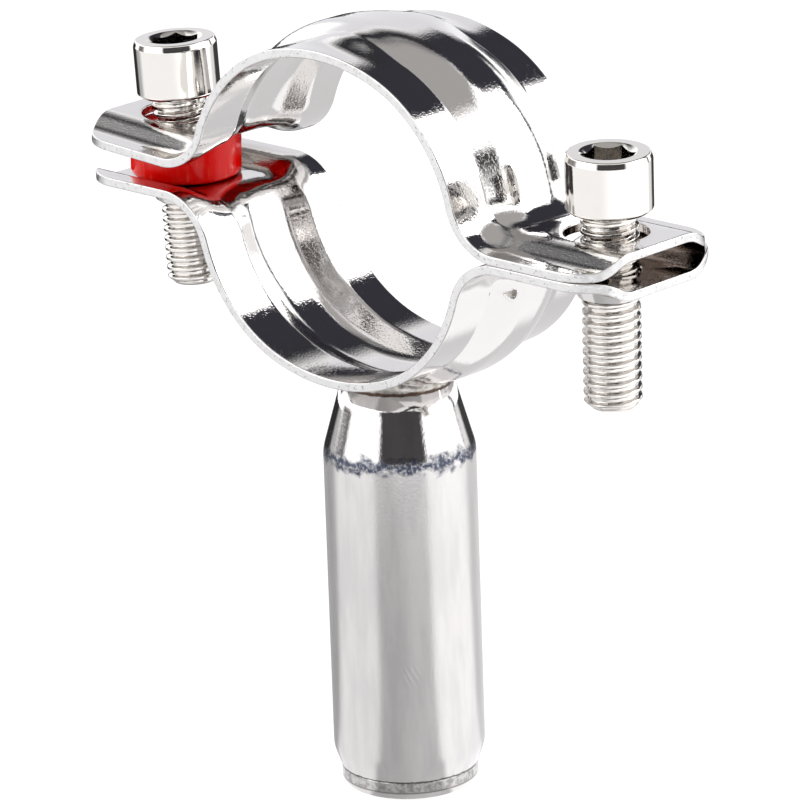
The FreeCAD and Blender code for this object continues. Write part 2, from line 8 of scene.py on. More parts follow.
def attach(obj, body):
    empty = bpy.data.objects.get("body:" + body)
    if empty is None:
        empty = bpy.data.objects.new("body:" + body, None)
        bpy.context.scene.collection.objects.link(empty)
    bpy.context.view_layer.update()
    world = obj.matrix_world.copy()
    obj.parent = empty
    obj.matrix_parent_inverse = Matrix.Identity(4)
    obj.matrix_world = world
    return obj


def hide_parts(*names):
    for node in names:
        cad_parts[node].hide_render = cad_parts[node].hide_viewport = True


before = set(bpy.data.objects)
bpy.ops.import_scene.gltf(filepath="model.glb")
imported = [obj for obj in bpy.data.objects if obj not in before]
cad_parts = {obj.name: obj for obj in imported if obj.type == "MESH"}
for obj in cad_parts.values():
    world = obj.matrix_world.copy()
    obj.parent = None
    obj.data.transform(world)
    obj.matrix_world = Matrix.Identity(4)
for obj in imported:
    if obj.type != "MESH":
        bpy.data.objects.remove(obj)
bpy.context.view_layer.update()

scene = bpy.context.scene
MM = 0.001

# Camera solved from the photograph; lengths in millimetres, from the ring's axis on the parting plane
AZIMUTH = math.radians(43.86)
ELEVATION = math.radians(17.71)
ROLL = math.radians(1.947)
DISTANCE = 798.0
PIXELS_PER_MM = 7.281
ASIDE_MM = 0.268
ABOVE_MM = -26.67
PICTURE_WIDTH = 800
SENSOR_MM = 36.0

# Sizes in millimetres; widths of round things are radii, and WIDE is half of the strap
SHEET = 1.3
WIDE = 13.4
SIDE_RADIUS = 21.2
BASE_RADIUS = 29.8
BASE_HALF_ANGLE = math.radians(18.0)
RING_DEPTH = 21.6
BEND_RADIUS = 8.6
EAR_REACH = 49.2
LEFT_TRIM = 0.6
CORNER_RADIUS = 6.6
RING_HEIGHT = 83.9
STRAP_SHIFT = 0.6
SPRING = math.radians(3.05)
RIB_DEPTH = 1.9
# Rib: half width, slope, inner rounds at its foot and crown.
# It is wide and soft on the ears, narrow and crisp on the ring.
EAR_RIB = (11.7, math.radians(28.0), 4.2, 4.6)
RING_RIB = (7.6, math.radians(24.0), 0.8, 6.0)
RING_RIB_ASIDE = 0.6
TOP_RIB_SHARE = 0.7
SCREW_ACROSS = 40.0
CLEARANCE_HOLE = 5.8
TAPPED_HOLE = 4.07
TAPPED_COUNTERSINK = 0.3
COLLAR_ROOT = 5.3
COLLAR_LIP = 4.6
COLLAR_DROP = 2.2
COLLAR_FLARE = 0.9
COLLAR_EDGE = 0.2
COLLAR_MIDDLE = 3.65
EDGE_ROUND = 0.2
# Half side of the square in each ear's mesh that holds the hole
PATCH = 6.4

TUBE = 10.67
NECK = 7.9
FOOT = 9.6
WELD_DROP = 0.15
UPPER_TAPER = 9.6
LOWER_TAPER = 2.9
RIM = 2.6
RIM_STEP = 0.1
RIM_CHAMFER = 0.8
SHOULDER_ROUND = 7.0
HEEL_ROUND = 5.0
FOOT_CHAMFER = 0.55
FOOT_WALL = 1.4
FOOT_BORE_DEEP = 20.0
WELD_BULGE = 0.16
WELD_TUCK = 0.04
WELD_LAP = (0.06, 0.05)

SHANK = 3.97
HEAD = 5.95
HEAD_HIGH = 8.1
# Bevels at the head's top and under it: how far inward and how far along the axis
HEAD_BEVEL = (0.32, 0.9)
HEAD_UNDERCUT = (0.5, 0.45)
SCREW_LONG = 27.5
PITCH = 1.411
THREAD_DEPTH = 0.62
CREST_SHARE = 0.22
FLANK_SHARE = 0.50
THREAD_START = 0.5
THREAD_RUN_OUT = 0.8
THREAD_SOFT = 0.12
THREAD_RELIEF = 0.12
TIP_CHAMFER = 0.95
SOCKET_WIDE = 6.4
SOCKET_DEEP = 4.2
MOUTH_RIM = 4.1
SOCKET_MOUTH = 3.93
SOCKET_CONE = 0.6
MOUTH_SINK = 0.02
MOUTH_SLOPE = 0.8

SLEEVE_OUTER = 7.9
SLEEVE_BORE = 4.8
SLEEVE_HIGH = 6.97
SLEEVE_ROUND = 0.75
# Between the left ears at the screw, and bare thread above the ear under each head
LEFT_GAP = 3.773
LEFT_STAND = 2.85
RIGHT_STAND = 3.25

SIDE_X = (BASE_RADIUS - SIDE_RADIUS) * math.sin(BASE_HALF_ANGLE)
SIDE_Z = RING_DEPTH - BASE_RADIUS + (BASE_RADIUS - SIDE_RADIUS) * math.cos(BASE_HALF_ANGLE)
BEND_X = SIDE_X + math.sqrt((SIDE_RADIUS + BEND_RADIUS) ** 2 - (BEND_RADIUS - SIDE_Z) ** 2)
RISE = math.atan2(BEND_RADIUS - SIDE_Z, BEND_X - SIDE_X)
EAR_TOP = RIB_DEPTH + SHEET
STEM_TOP = RING_HEIGHT - RING_DEPTH - EAR_TOP - WELD_DROP
SHOULDER_Z = STEM_TOP - UPPER_TAPER

# Scratches on the stem; the wave is in millimetres per radian
SCUFF_TURN = AZIMUTH + math.radians(4)
SCUFF_PLACE = (TUBE * math.sin(SCUFF_TURN), -TUBE * math.cos(SCUFF_TURN), 19.0)
SCUFF_HALF = 2.0
SCUFF_WAVE = 0.09
SCUFF_SLANT = 0.35
SCUFF_STRENGTH = 1.4


def make_camera():
    right = Vector((math.cos(AZIMUTH), math.sin(AZIMUTH), 0))
    back = Vector((math.sin(AZIMUTH) * math.cos(ELEVATION), -math.cos(AZIMUTH) * math.cos(ELEVATION),
                   math.sin(ELEVATION)))
    up = back.cross(right)
    cos_roll, sin_roll = math.cos(ROLL), math.sin(ROLL)
    place = Vector((0, 0, RING_HEIGHT)) + right * ASIDE_MM + up * ABOVE_MM + back * DISTANCE
    camera = bpy.data.objects.new("camera", bpy.data.cameras.new("camera"))
    scene.collection.objects.link(camera)
    across = right * cos_roll - up * sin_roll
    upward = right * sin_roll + up * cos_roll
    turn = Matrix((across, upward, back)).transposed()
    camera.matrix_world = Matrix.Translation(place * MM) @ turn.to_4x4()
    camera.data.sensor_width = SENSOR_MM
    camera.data.lens = PIXELS_PER_MM * DISTANCE * SENSOR_MM / PICTURE_WIDTH
    camera.data.clip_start = 0.05
    camera.data.clip_end = 50.0
    scene.camera = camera


class Surface:
    """Collects points with their normals, and faces with their finish."""

    def __init__(self):
        self.points = []
        self.normals = []
        self.faces = []
        self.finishes = []

    def add(self, point, normal):
        self.points.append(tuple(point))
        length = math.sqrt(sum(part * part for part in normal))
        self.normals.append(tuple(part / length for part in normal))
        return len(self.points) - 1

    def face(self, corners, finish=0):
        kept = [corner for place, corner in enumerate(corners) if corner != corners[place - 1]]
        if len(kept) > 2:
            self.faces.append(kept)
            self.finishes.append(finish)

    def band(self, low, high, closed, finish=0, flip=False):
        """Quads between two rows of points of the same length."""
        count = len(low)
        for step in range(count if closed else count - 1):
            after = (step + 1) % count
            corners = [low[step], low[after], high[after], high[step]]
            self.face(corners[::-1] if flip else corners, finish)

    def build(self, name, looks, matrix=None):
        """An object in the row frame, in metres, with these normals kept."""
        points = np.array(self.points) * MM
        normals = np.array(self.normals)
        if matrix is not None:
            turn = np.array(matrix.to_3x3())
            points = points @ turn.T + np.array(matrix.translation)
            normals = normals @ turn.T
        mesh = bpy.data.meshes.new(name)
        mesh.from_pydata(points.tolist(), [], self.faces)
        for look in looks:
            mesh.materials.append(look)
        mesh.polygons.foreach_set("material_index", self.finishes)
        mesh.polygons.foreach_set("use_smooth", [True] * len(self.faces))
        mesh.update()
        mesh.normals_split_custom_set_from_vertices(normals.tolist())
        made = bpy.data.objects.new(name, mesh)
        scene.collection.objects.link(made)
        return made


def rib(across, outside, form):
    """Height of one face of the sheet above the strap's inner line, and its slope."""
    half_width, slope, foot, top_round = form
    level = SHEET if outside else 0.0
    shoulder = foot + (0.0 if outside else SHEET)
    crown = top_round + (SHEET if outside else 0.0)
    rounds = foot + top_round + SHEET
    ramp = (RIB_DEPTH - rounds * (1 - math.cos(slope))) / math.tan(slope)
    flat = half_width - rounds * math.sin(slope) - ramp
    far, side = abs(across), math.copysign(1.0, across)
    top = level + RIB_DEPTH
    if far <= flat:
        return top, 0.0
    if far < flat + crown * math.sin(slope):
        drop = math.sqrt(crown ** 2 - (far - flat) ** 2)
        return top - crown + drop, -side * (far - flat) / drop
    if far > half_width:
        return level, 0.0
    if far > half_width - shoulder * math.sin(slope):
        drop = math.sqrt(shoulder ** 2 - (half_width - far) ** 2)
        return level + shoulder - drop, -side * (half_width - far) / drop
    start = flat + crown * math.sin(slope)
    return top - crown * (1 - math.cos(slope)) - (far - start) * math.tan(slope), -side * math.tan(slope)


def rib_columns():
    """Places across the strap where the mesh has lines, closer on the rounds."""
    half = list(np.linspace(0, PATCH, 21)) + list(np.linspace(PATCH, EAR_RIB[0], 19)[1:])
    half += list(np.linspace(EAR_RIB[0], WIDE - EDGE_ROUND, 6)[1:])
    return [-place for place in half[:0:-1]] + half


class Strap:
    """A strap with its ears below and its ring above; the lower one is turned over afterwards.

    spring is the lean of its right ear, short the side whose ear ends nearer the axis, -1 or +1,
    and spread how far the ring's rib widens at its middle, 1.0 for as wide as on the ears.
    """

    def __init__(self, spring, short, spread):
        self.spring = spring
        self.short = short
        self.spread = spread
        self.ear_start = BEND_X + BEND_RADIUS * math.sin(spring)

    def ear(self, across):
        """Point, tangent and normal on an ear's inner face."""
        if across < 0:
            return (across, 0.0), (1.0, 0.0), (0.0, 1.0)
        lift = self.spring
        start = BEND_RADIUS - BEND_RADIUS * math.cos(lift)
        height = start + (across - self.ear_start) * math.tan(lift)
        return (across, height), (math.cos(lift), math.sin(lift)), (-math.sin(lift), math.cos(lift))

    def stations(self):
        """Places along the strap from its left tip to its right one.

        Each is (point, tangent, normal, half width, turn of the edge, share of the ear's rib, its growth).
        """
        inner = CORNER_RADIUS - EDGE_ROUND
        patch = list(np.linspace(SCREW_ACROSS - PATCH, SCREW_ACROSS + PATCH, 17))

        def corner(side):
            return EAR_REACH - (LEFT_TRIM if side == self.short else 0.0) - CORNER_RADIUS

        def ear_line(start, side):
            """Places along an ear from its bend to its tip."""
            first_turn = math.asin((SCREW_ACROSS + PATCH - corner(side)) / inner)
            tip_turns = np.linspace(first_turn, math.pi / 2, 14)[1:]
            tips = [corner(side) + inner * math.sin(turn) for turn in tip_turns]
            return list(np.linspace(start, SCREW_ACROSS - PATCH, 5)[:-1]) + patch + tips

        ear_xs, left_xs = ear_line(self.ear_start, 1), ear_line(BEND_X, -1)

        def ear_station(across):
            point, tangent, normal = self.ear(across)
            far = abs(across) - corner(math.copysign(1, across))
            if far <= 0:
                return point, tangent, normal, WIDE - EDGE_ROUND, 0.0, 1.0, 0.0
            turn = math.asin(min(1.0, far / inner))
            half = WIDE - CORNER_RADIUS + inner * math.cos(turn)
            return point, tangent, normal, half, math.copysign(turn, across), 1.0, 0.0

        found = [ear_station(-across) for across in left_xs[::-1]]
        full = WIDE - EDGE_ROUND

        def arc(centre, radius, first, last, count, outward, shares=(0.0, 0.0)):
            """Stations along an arc, while the share of the ear's rib goes from one value to the other."""
            for part, turn in list(zip(np.linspace(0, 1, count), np.linspace(first, last, count)))[1:]:
                share = shares[0] + (shares[1] - shares[0]) * part * part * (3 - 2 * part)
                growth = (shares[1] - shares[0]) * 6 * part * (1 - part) / (radius * abs(last - first))
                radial = (math.cos(turn), math.sin(turn))
                point = (centre[0] + radius * radial[0], centre[1] + radius * radial[1])
                normal = radial if outward else (-radial[0], -radial[1])
                tangent = (normal[1], -normal[0])
                found.append((point, tangent, normal, full, 0.0, share, growth))

        quarter = math.pi / 2
        last_bend = 3 * quarter + self.spring
        arc((-BEND_X, BEND_RADIUS), BEND_RADIUS, -quarter, -RISE, 28, False, (1.0, 0.0))
        arc((-SIDE_X, SIDE_Z), SIDE_RADIUS, math.pi - RISE, quarter + BASE_HALF_ANGLE, 72, True)
        base = (0, RING_DEPTH - BASE_RADIUS)
        arc(base, BASE_RADIUS, quarter + BASE_HALF_ANGLE, quarter, 19, True, (0.0, self.spread))
        arc(base, BASE_RADIUS, quarter, quarter - BASE_HALF_ANGLE, 19, True, (self.spread, 0.0))
        arc((SIDE_X, SIDE_Z), SIDE_RADIUS, quarter - BASE_HALF_ANGLE, RISE, 72, True)
        arc((BEND_X, BEND_RADIUS), BEND_RADIUS, math.pi + RISE, last_bend, 28, False, (0.0, 1.0))
        found += [ear_station(across) for across in ear_xs[1:]]
        return found

    def mesh(self, profile):
        """Two faces, a rounded edge all round, and a hole of this profile in each ear."""
        skin = Surface()
        stations = self.stations()
        columns = rib_columns()

        def spot(station, across, outside):
            (x, z), (tx, tz), (nx, nz) = station[:3]
            share, growth = station[5:]
            ear_height, ear_slope = rib(across, outside, EAR_RIB)
            ring_height, ring_slope = rib(across - RING_RIB_ASIDE, outside, RING_RIB)
            height = ring_height + (ear_height - ring_height) * share
            slope = ring_slope + (ear_slope - ring_slope) * share
            along = (ear_height - ring_height) * growth
            point = (x + nx * height, across, z + nz * height)
            normal = np.array([nx - along * tx, -slope, nz - along * tz])
            normal = normal / np.linalg.norm(normal)
            scale = 1 / math.sqrt(1 + slope * slope)
            sideways = np.array([nx * slope * scale, scale, nz * slope * scale])
            return np.array(point), normal, np.array([tx, 0.0, tz]), sideways

        grids = {}
        for outside in (True, False):
            grid = []
            for station in stations:
                half, row, last = station[3], [], None
                for across in columns:
                    held = max(-half, min(half, across))
                    if last is None or held != last:
                        point, normal, _, _ = spot(station, held, outside)
                        row.append(skin.add(point, normal if outside else -normal))
                    else:
                        row.append(row[-1])
                    last = held
                grid.append(row)
            grids[outside] = grid

        middle = [place for place, across in enumerate(columns) if abs(across) <= PATCH + 1e-6]
        low_column, high_column = middle[0], middle[-1]

        def in_patch(index):
            first, second = stations[index][0][0], stations[index + 1][0][0]
            reach = abs((first + second) / 2)
            return SCREW_ACROSS - PATCH < reach < SCREW_ACROSS + PATCH

        patches = {-1: [], 1: []}
        for index in range(len(stations) - 1):
            if in_patch(index):
                patches[-1 if stations[index][0][0] < 0 else 1].append(index)
        for outside, grid in grids.items():
            for index in range(len(stations) - 1):
                inside = in_patch(index)
                for column in range(len(columns) - 1):
                    if inside and low_column <= column < high_column:
                        continue
                    corners = [grid[index][column], grid[index + 1][column],
                               grid[index + 1][column + 1], grid[index][column + 1]]
                    skin.face(corners if outside else corners[::-1])

        # Rounded edge all the way round
        outline = []
        last = len(stations) - 1
        for column, across in enumerate(columns):
            if abs(across) <= stations[0][3]:
                outline.append((0, across, (-1.0, 0.0)))
        for index, station in enumerate(stations):
            turn = station[4]
            outline.append((index, station[3], (math.sin(turn), math.cos(turn))))
        for across in columns[::-1]:
            if abs(across) <= stations[last][3]:
                outline.append((last, across, (1.0, 0.0)))
        for index in range(last, -1, -1):
            turn = stations[index][4]
            outline.append((index, -stations[index][3], (math.sin(turn), -math.cos(turn))))
        turns = np.linspace(0, math.pi / 2, 5)
        rows = []
        for outside, order in ((True, turns), (False, turns[::-1])):
            for turn in order:
                row = []
                for index, across, (along, sideways) in outline:
                    point, normal, tangent, width = spot(stations[index], across, outside)
                    normal = normal if outside else -normal
                    away = tangent * along + width * sideways
                    away = away / np.linalg.norm(away)
                    outward, inward = EDGE_ROUND * math.sin(turn), EDGE_ROUND * (1 - math.cos(turn))
                    place = point + away * outward - normal * inward
                    row.append(skin.add(place, away * math.sin(turn) + normal * math.cos(turn)))
                rows.append(row)
        for number, (low, high) in enumerate(zip(rows, rows[1:])):
            skin.band(low, high, True, 1 if 2 <= number <= len(rows) - 4 else 0)

        # A hole in each ear, joined to the square left for it
        for side, cells in patches.items():
            self.hole(skin, grids, stations, columns, cells, (low_column, high_column), side, profile)
        return skin

    def hole(self, skin, grids, stations, columns, cells, span, side, profile):
        """A round hole, or a collar, joined to the square that the ear's mesh leaves open."""
        low_column, high_column = span
        first, last = cells[0], cells[-1] + 1
        rim = [(index, low_column) for index in range(first, last)]
        rim += [(last, column) for column in range(low_column, high_column)]
        rim += [(index, high_column) for index in range(last, first, -1)]
        rim += [(first, column) for column in range(high_column, low_column, -1)]
        centre = side * SCREW_ACROSS

        def local(radius, turn, height):
            (x, z), _, normal = self.ear(centre + radius * math.cos(turn))
            return (x + normal[0] * height, radius * math.sin(turn), z + normal[1] * height)

        def lean(out, rise, turn):
            """Normal with this much outward and upward in it, round the hole."""
            _, tangent, normal = self.ear(centre)
            across = math.cos(turn) * out
            x = tangent[0] * across + normal[0] * rise
            z = tangent[1] * across + normal[1] * rise
            return (x, math.sin(turn) * out, z)

        turns = [math.atan2(columns[column], stations[index][0][0] - centre) for index, column in rim]
        loops = [[grids[True][index][column] for index, column in rim]]
        for radius, height, out, rise in profile:
            loops.append([skin.add(local(radius, turn, height), lean(out, rise, turn)) for turn in turns])
        loops.append([grids[False][index][column] for index, column in rim])
        for low, high in zip(loops, loops[1:]):
            skin.band(low, high, True)


def clearance_profile():
    """Clearance hole with rounded edges, from the ear's outer face to its inner one.

    Its points are (radius, height, outward, upward), as are the collar's.
    """
    top, _ = rib(0.0, True, EAR_RIB)
    floor, _ = rib(0.0, False, EAR_RIB)
    outer = CLEARANCE_HOLE + EDGE_ROUND
    quarter = [float(turn) for turn in np.linspace(0, math.pi / 2, 6)]
    points = []
    for turns, level, side in ((quarter, top, 1), (quarter[::-1], floor, -1)):
        for turn in turns:
            radius = outer - EDGE_ROUND * math.sin(turn)
            height = level - side * EDGE_ROUND * (1 - math.cos(turn))
            points.append((radius, height, -math.sin(turn), side * math.cos(turn)))
    return points


def collar_profile():
    """Drawn collar round a tapped hole, from the ear's outer face to its inner one."""
    top, _ = rib(0.0, True, EAR_RIB)
    floor, _ = rib(0.0, False, EAR_RIB)
    end_height = top + COLLAR_DROP
    lean = math.atan2(COLLAR_ROOT - COLLAR_LIP, COLLAR_DROP)
    points = []
    for turn in np.linspace(0, math.pi / 2 - lean, 8):
        points.append((COLLAR_ROOT + COLLAR_FLARE * (1 - math.sin(turn)),
                       top + COLLAR_FLARE * (1 - math.cos(turn)), math.sin(turn), math.cos(turn)))
    points.append((COLLAR_LIP + COLLAR_EDGE * 0.35, end_height - COLLAR_EDGE * 1.2,
                   math.cos(lean), math.sin(lean)))
    for turn in np.linspace(lean, math.pi - 0.2, 7):
        points.append((COLLAR_LIP - COLLAR_EDGE + COLLAR_EDGE * math.cos(turn),
                       end_height - COLLAR_EDGE + COLLAR_EDGE * math.sin(turn),
                       math.cos(turn), math.sin(turn)))
    points.append((TAPPED_HOLE, end_height - 2 * COLLAR_EDGE, -1.0, 0.0))
    points.append((TAPPED_HOLE, floor + TAPPED_COUNTERSINK, -1.0, 0.0))
    points.append((TAPPED_HOLE + 0.1, floor + 0.05, -0.7, -0.7))
    points.append((TAPPED_HOLE + TAPPED_COUNTERSINK, floor, 0.0, -1.0))
    return points


def lathe(profile, segments):
    """Turned surface from (radius, height, outward, upward) points, from the top down the outside."""
    skin = Surface()
    rows = []
    for radius, height, out, rise in profile:
        row = []
        for turn in np.linspace(0, 2 * math.pi, segments, endpoint=False):
            cos_turn, sin_turn = math.cos(turn), math.sin(turn)
            point = (radius * cos_turn, radius * sin_turn, height)
            row.append(skin.add(point, (out * cos_turn, out * sin_turn, rise)))
        rows.append(row)
    for low, high in zip(rows, rows[1:]):
        skin.band(low, high, True, flip=True)
    return skin, rows


def rounded(corners):
    """Profile with its corners rounded: corners are (radius, height, round); gives points with normals."""
    made = []
    places = [np.array(corner[:2]) for corner in corners]
    for index in range(len(corners) - 1):
        here, there = places[index], places[index + 1]
        step = (there - here) / np.linalg.norm(there - here)
        normal = np.array([-step[1], step[0]])
        start, end = here, there
        if index > 0 and corners[index][2]:
            start = trim(places, corners, index)[1]
        if index < len(corners) - 2 and corners[index + 1][2]:
            end = trim(places, corners, index + 1)[0]
        for share in (0.0, 0.35, 0.65, 1.0):
            place = start + (end - start) * share
            made.append((place[0], place[1], normal[0], normal[1]))
        if index < len(corners) - 2 and corners[index + 1][2]:
            after = places[index + 2] - places[index + 1]
            after = after / np.linalg.norm(after)
            next_normal = np.array([-after[1], after[0]])
            centre, radius, sign = bend_centre(places, corners, index + 1)
            crossed = normal[0] * next_normal[1] - normal[1] * next_normal[0]
            opening = math.atan2(crossed, float(normal @ next_normal))
            count = max(3, int(abs(opening) / 0.12))
            for share in np.linspace(0, 1, count + 1)[1:-1]:
                turn = opening * share
                cos_turn, sin_turn = math.cos(turn), math.sin(turn)
                facing = np.array([normal[0] * cos_turn - normal[1] * sin_turn,
                                   normal[0] * sin_turn + normal[1] * cos_turn])
                place = centre + facing * radius * sign
                made.append((place[0], place[1], facing[0], facing[1]))
    return made


def corner_steps(places, index):
    """Unit steps into a corner and out of it."""
    into = places[index] - places[index - 1]
    out = places[index + 1] - places[index]
    return into / np.linalg.norm(into), out / np.linalg.norm(out)


def trim(places, corners, index):
    """Where a corner's round starts and ends."""
    into, out = corner_steps(places, index)
    opening = math.acos(max(-1.0, min(1.0, float(into @ out))))
    back = corners[index][2] * math.tan(opening / 2)
    return places[index] - into * back, places[index] + out * back


def bend_centre(places, corners, index):
    """Centre and radius of a corner's round, and +1 where it bulges outward."""
    first, _ = trim(places, corners, index)
    into, out = corner_steps(places, index)
    normal = np.array([-into[1], into[0]])
    turn = into[0] * out[1] - into[1] * out[0]
    sign = -1.0 if turn > 0 else 1.0
    return first - normal * corners[index][2] * sign, corners[index][2], sign


def thread_radius(turn, height):
    """Rounded thread, run out under the head and cut back by the tip's chamfer."""
    phase = (height / PITCH - turn / (2 * math.pi)) % 1.0
    wave = abs(phase - 0.5) * 2
    share = min(1.0, max(0.0, (wave - CREST_SHARE) / FLANK_SHARE))
    depth = share * share * (3 - 2 * share)
    fade = min(1.0, max(0.0, (-height - THREAD_START) / THREAD_RUN_OUT))
    radius = SHANK - THREAD_DEPTH * depth * fade - THREAD_RELIEF * (1 - fade)
    cone = SHANK - TIP_CHAMFER + (height + SCREW_LONG)
    gap = max(0.0, THREAD_SOFT - abs(radius - cone))
    return min(radius, cone) - gap * gap / (4 * THREAD_SOFT)


def screw_mesh():
    """Socket head screw with its origin under the head and its thread cut as one helix."""
    top_in, top_down = HEAD_BEVEL
    foot_in, foot_up = HEAD_UNDERCUT
    head = rounded([(MOUTH_RIM, HEAD_HIGH, 0), (HEAD - top_in, HEAD_HIGH, 0.3),
                    (HEAD, HEAD_HIGH - top_down, 0.9), (HEAD, foot_up, 0.3),
                    (HEAD - foot_in, 0.0, 0.2), (SHANK - 0.1, 0.0, 0)])
    skin, rows = lathe(head, 120)
    # Socket: a countersunk mouth meets six flats
    mouth_row, wall_row = [], []
    top_turns = list(np.linspace(0, 2 * math.pi, 120, endpoint=False))
    sixth = math.pi / 3
    mouth_height = HEAD_HIGH - MOUTH_SINK

    def flat_radius(turn):
        return SOCKET_WIDE / 2 / math.cos((turn % sixth) - sixth / 2)

    def wall_top(radius):
        return mouth_height - (SOCKET_MOUTH - radius) * MOUTH_SLOPE

    for turn in top_turns:
        cos_turn, sin_turn = math.cos(turn), math.sin(turn)
        mouth_row.append(skin.add((SOCKET_MOUTH * cos_turn, SOCKET_MOUTH * sin_turn, mouth_height),
                                  (-0.4 * cos_turn, -0.4 * sin_turn, 0.9)))
        radius = flat_radius(turn)
        wall_row.append(skin.add((radius * cos_turn, radius * sin_turn, wall_top(radius)),
                                 (-0.6 * cos_turn, -0.6 * sin_turn, 0.8)))
    skin.band(mouth_row, rows[0], True, flip=True)
    skin.band(wall_row, mouth_row, True, flip=True)
    steps = len(top_turns) // 6
    for side in range(6):
        middle = (side + 0.5) * sixth
        normal = (-math.cos(middle), -math.sin(middle), 0.0)
        upper, lower = [], []
        for step in range(steps + 1):
            turn = top_turns[(side * steps + step) % len(top_turns)]
            # The last step stops just short of the next flat
            radius = flat_radius(side * sixth + step * sixth / steps - (1e-9 if step == steps else 0))
            x, y = radius * math.cos(turn), radius * math.sin(turn)
            upper.append(skin.add((x, y, wall_top(radius)), normal))
            lower.append(skin.add((x, y, HEAD_HIGH - SOCKET_DEEP), normal))
        skin.band(lower, upper, False, flip=True)
        floor_points = [skin.add(skin.points[corner], (0, 0, 1)) for corner in lower]
        hub = skin.add((0, 0, HEAD_HIGH - SOCKET_DEEP - SOCKET_CONE), (0, 0, 1))
        for one, two in zip(floor_points, floor_points[1:]):
            skin.face([one, two, hub])
    # Thread
    turns = np.linspace(0, 2 * math.pi, 84, endpoint=False)
    heights = np.linspace(0.0, -SCREW_LONG, 276)
    tiny = 1e-3
    last = None
    for height in heights:
        row = []
        for turn in turns:
            radius = thread_radius(turn, height)
            along = (thread_radius(turn, height + tiny) - thread_radius(turn, height - tiny)) / (2 * tiny)
            around = (thread_radius(turn + tiny, height) - thread_radius(turn - tiny, height)) / (2 * tiny)
            cos_turn, sin_turn = math.cos(turn), math.sin(turn)
            side = around / radius
            normal = (cos_turn + side * sin_turn, sin_turn - side * cos_turn, -along)
            row.append(skin.add((radius * cos_turn, radius * sin_turn, height), normal))
        if last:
            skin.band(last, row, True, 1, flip=True)
        last = row
    end = [skin.add(skin.points[corner], (0, 0, -1)) for corner in last]
    hub = skin.add((0, 0, -SCREW_LONG), (0, 0, -1))
    for one, two in zip(end, end[1:] + end[:1]):
        skin.face([two, one, hub], 1)
    return skin


def free_form(rows):
    """Closed band through rows of points, with normals worked out from their neighbours."""
    skin = Surface()
    grid = np.array(rows)
    around = np.roll(grid, -1, axis=1) - np.roll(grid, 1, axis=1)
    upward = np.gradient(grid, axis=0)
    normals = np.cross(around, upward)
    made = [[skin.add(point, normal) for point, normal in zip(*pair)] for pair in zip(grid, normals)]
    for low, high in zip(made, made[1:]):
        skin.band(low, high, True)
    return skin


def strap_underside(x, y):
    """Height of the lower strap's outer face under the ring."""
    radius = BASE_RADIUS + rib(y - RING_RIB_ASIDE, True, RING_RIB)[0]
    return RING_HEIGHT + BASE_RADIUS - RING_DEPTH - math.sqrt(radius * radius - x * x)


def screw_place(across, lean_x, lean_y, head_base):
    """Leans the screw about the middle of its collar and lifts its head to its height."""
    hub = Vector((across, 0, RING_HEIGHT - COLLAR_MIDDLE))
    axis = Vector((math.sin(lean_x), math.sin(lean_y), 1.0)).normalized()
    turn = Vector((0, 0, 1)).rotation_difference(axis).to_matrix().to_4x4()
    return Matrix.Translation((hub + axis * (head_base - hub.z) / axis.z) * MM) @ turn


class Nodes:
    """A node tree, with short ways to add nodes to it."""

    def __init__(self, tree):
        self.tree = tree

    def add(self, kind, **settings):
        node = self.tree.nodes.new(kind)
        for key, value in settings.items():
            setattr(node, key, value)
        return node

    def link(self, source, target):
        self.tree.links.new(source, target)

    def math(self, operation, *values):
        node = self.add("ShaderNodeMath", operation=operation)
        for socket, value in zip(node.inputs, values):
            if isinstance(value, (int, float)):
                socket.default_value = value
            else:
                self.link(value, socket)
        return node.outputs[0]

    def times(self, first, second):
        return self.math("MULTIPLY", first, second)

    def along(self, vector, way):
        """How far a vector goes along a fixed way."""
        node = self.add("ShaderNodeVectorMath", operation="DOT_PRODUCT")
        self.link(vector, node.inputs[0])
        node.inputs[1].default_value = way
        return node.outputs["Value"]

    def spread(self, value, low, high, out_low, out_high, smooth=True):
        node = self.add("ShaderNodeMapRange")
        node.interpolation_type = "SMOOTHSTEP" if smooth else "LINEAR"
        self.link(value, node.inputs["Value"])
        ends = {"From Min": low, "From Max": high, "To Min": out_low, "To Max": out_high}
        for socket, number in ends.items():
            node.inputs[socket].default_value = number
        return node.outputs["Result"]

    def mix(self, share, first, second):
        """Colour between two colours."""
        node = self.add("ShaderNodeMix", data_type="RGBA")
        self.link(share, node.inputs["Factor"])
        for socket, value in ((node.inputs[6], first), (node.inputs[7], second)):
            if isinstance(value, tuple):
                socket.default_value = (*value, 1.0)
            else:
                self.link(value, socket)
        return node.outputs[2]


